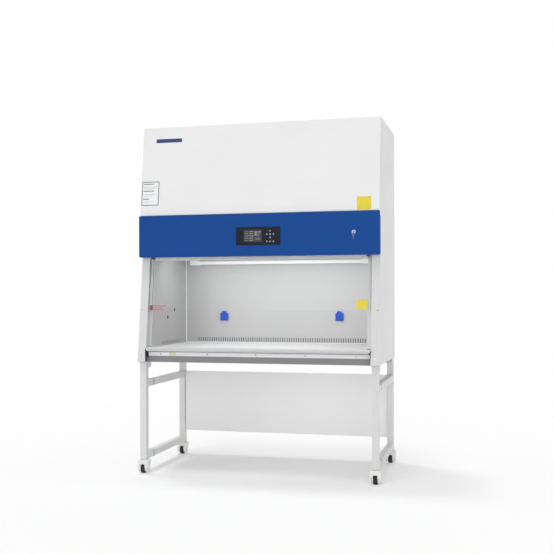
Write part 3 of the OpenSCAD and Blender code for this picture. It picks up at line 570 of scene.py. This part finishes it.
# Plugs that close the tap ports from behind
PLUG_X, PLUG_R, PLUG_SIDES = -0.6785, 0.0122, 24
bm = bmesh.new()
for y, z in ((-0.059, 0.960), (0.065, 1.007)):
    turns = [i * 2 * math.pi / PLUG_SIDES for i in range(PLUG_SIDES)]
    add_prism(bm, [(PLUG_X, y + PLUG_R * math.cos(t), z + PLUG_R * math.sin(t)) for t in turns],
              (0.0030, 0, 0))
finish_piece("port_plugs", bm, "black", "cabinet")

# ---------------------------------------------------------------- stage
# The floor takes shadows near the part and fades to plain white away from it
GLOW_NEAR, GLOW_REACH = 0.20, (1.4, 4.5)
floor_me = bpy.data.meshes.new("floor")
bm = bmesh.new()
bmesh.ops.create_grid(bm, x_segments=1, y_segments=1, size=60)
bm.to_mesh(floor_me)
bm.free()
floor = bpy.data.objects.new("floor", floor_me)
bpy.context.scene.collection.objects.link(floor)
g = Graph("floor_white")
p = g.bsdf(srgb(250, 250, 250), 0.7)
glow = g.add("ShaderNodeEmission")
glow.inputs["Color"].default_value = (1, 1, 1, 1)
glow.inputs["Strength"].default_value = 1.0
length = g.add("ShaderNodeVectorMath", operation="LENGTH")
g.link(g.coord, length.inputs[0])
far = g.remap(length.outputs["Value"], GLOW_NEAR, 1.0, *GLOW_REACH)
path = g.add("ShaderNodeLightPath")
shown = g.math("MAXIMUM", path.outputs["Is Glossy Ray"], path.outputs["Is Transmission Ray"])
shown = g.math("MAXIMUM", path.outputs["Is Camera Ray"], shown)
mix = g.add("ShaderNodeMixShader")
g.link(g.math("MULTIPLY", far, shown), mix.inputs["Fac"])
g.link(p.outputs["BSDF"], mix.inputs[1])
g.link(glow.outputs["Emission"], mix.inputs[2])
g.link(mix.outputs["Shader"], g.out.inputs["Surface"])
floor_me.materials.append(g.mat)

# White behind everything, and a softer light from it on the part
FILL_LIGHT = 0.60
world = bpy.data.worlds.new("studio")
bpy.context.scene.world = world
world.use_nodes = True
t = world.node_tree
t.nodes.clear()
out = t.nodes.new("ShaderNodeOutputWorld")
path = t.nodes.new("ShaderNodeLightPath")
shown = path.outputs["Is Camera Ray"]
for ray in ("Is Glossy Ray", "Is Transmission Ray"):
    m = t.nodes.new("ShaderNodeMath")
    m.operation = "MAXIMUM"
    t.links.new(shown, m.inputs[0])
    t.links.new(path.outputs[ray], m.inputs[1])
    shown = m.outputs[0]
mix = t.nodes.new("ShaderNodeMixShader")
t.links.new(shown, mix.inputs["Fac"])
for i, strength in ((1, FILL_LIGHT), (2, 1.0)):
    back = t.nodes.new("ShaderNodeBackground")
    back.inputs["Color"].default_value = (1, 1, 1, 1)
    back.inputs["Strength"].default_value = strength
    t.links.new(back.outputs[0], mix.inputs[i])
t.links.new(mix.outputs[0], out.inputs["Surface"])


def sun(name, toward, strength, angle):
    """Soft lamp whose light travels along toward."""
    li = bpy.data.lights.new(name, "SUN")
    li.energy = strength
    li.angle = math.radians(angle)
    o = bpy.data.objects.new(name, li)
    bpy.context.scene.collection.objects.link(o)
    o.rotation_euler = Vector(toward).to_track_quat("-Z", "Y").to_euler()


sun("key", (0.04, 0.22, -1.0), 0.74, 18)
sun("rim", (0.26, -0.16, -1.0), 0.52, 9)
sun("front", (-0.12, 0.95, -0.05), 0.45, 50)


def panel_lamp(name, at, toward, wide, high, energy):
    """Rectangular lamp that the camera doesn't see."""
    li = bpy.data.lights.new(name, "AREA")
    li.shape, li.size, li.size_y, li.energy = "RECTANGLE", wide, high, energy
    o = bpy.data.objects.new(name, li)
    bpy.context.scene.collection.objects.link(o)
    o.location = at
    o.rotation_euler = Vector(toward).to_track_quat("-Z", "Y").to_euler()
    o.visible_camera = False
    o.visible_glossy = False


# The cabinet's own lamps, and a soft one under its base
panel_lamp("chamber_lamp", (0, -0.12, 1.345), (0, 0.4, -1), 1.2, 0.2, 3.6)
panel_lamp("bench_lamp", (0.2, -0.30, 0.45), (-0.3, 0.9, -0.25), 0.9, 0.3, 0.7)

# ---------------------------------------------------------------- camera
# From a fit to the picture, in pixels of a square image
IMAGE = 554
FOCAL, CENTRE_V = 889.8, 292.59
CAMERA_AT = (1.462, -5.503, 1.1185)
yaw, roll = math.radians(14.43), math.radians(-0.17)
forward = Vector((-math.sin(yaw), math.cos(yaw), 0))
right0, up0 = Vector((math.cos(yaw), math.sin(yaw), 0)), Vector((0, 0, 1))
right = math.cos(roll) * right0 + math.sin(roll) * up0
up = -math.sin(roll) * right0 + math.cos(roll) * up0
cam_data = bpy.data.cameras.new("camera")
cam_data.sensor_width = 36
cam_data.lens = FOCAL / IMAGE * 36
cam_data.shift_y = (CENTRE_V - IMAGE / 2) / IMAGE
cam_data.clip_end = 200
cam = bpy.data.objects.new("camera", cam_data)
bpy.context.scene.collection.objects.link(cam)
turn = Matrix((right, up, -forward)).transposed().to_4x4()
cam.matrix_world = Matrix.Translation(CAMERA_AT) @ turn
bpy.context.scene.camera = cam

bpy.context.scene.view_settings.view_transform = "Standard"
